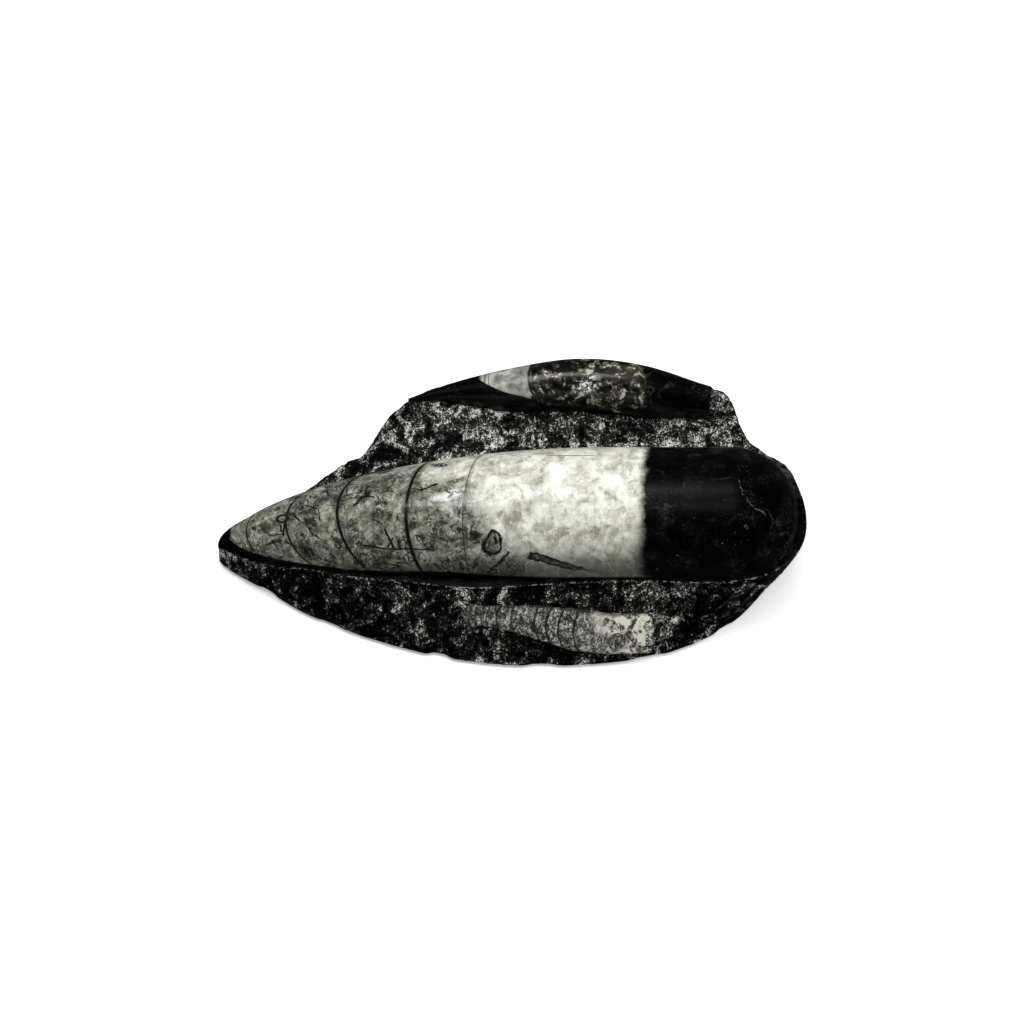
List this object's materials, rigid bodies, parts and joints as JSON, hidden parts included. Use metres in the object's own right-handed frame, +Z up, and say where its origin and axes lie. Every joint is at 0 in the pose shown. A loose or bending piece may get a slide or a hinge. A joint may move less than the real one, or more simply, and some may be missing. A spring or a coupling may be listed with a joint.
{
  "type": "orthoceras fossil",
  "caption": "Freeform block of black fossil limestone with a large polished orthocone in relief, a smaller one behind it across a rough channel, and a flat sawn base.",
  "frame": {"origin": "bottom centre of the stone's box, on the flat face that it rests on", "axes": "+X from the tips of the cones to their open ends, +Y to the back, away from the large cone's side, +Z up"},
  "size_m": [0.159, 0.089, 0.0393],
  "materials": {
    "polished_limestone": "black limestone, polished on the cones and chiselled between them, with grey and cream calcite in the cones"
  },
  "bodies": {
    "root": {"orthoceras_stone": "polished_limestone"}
  },
  "joints": []
}
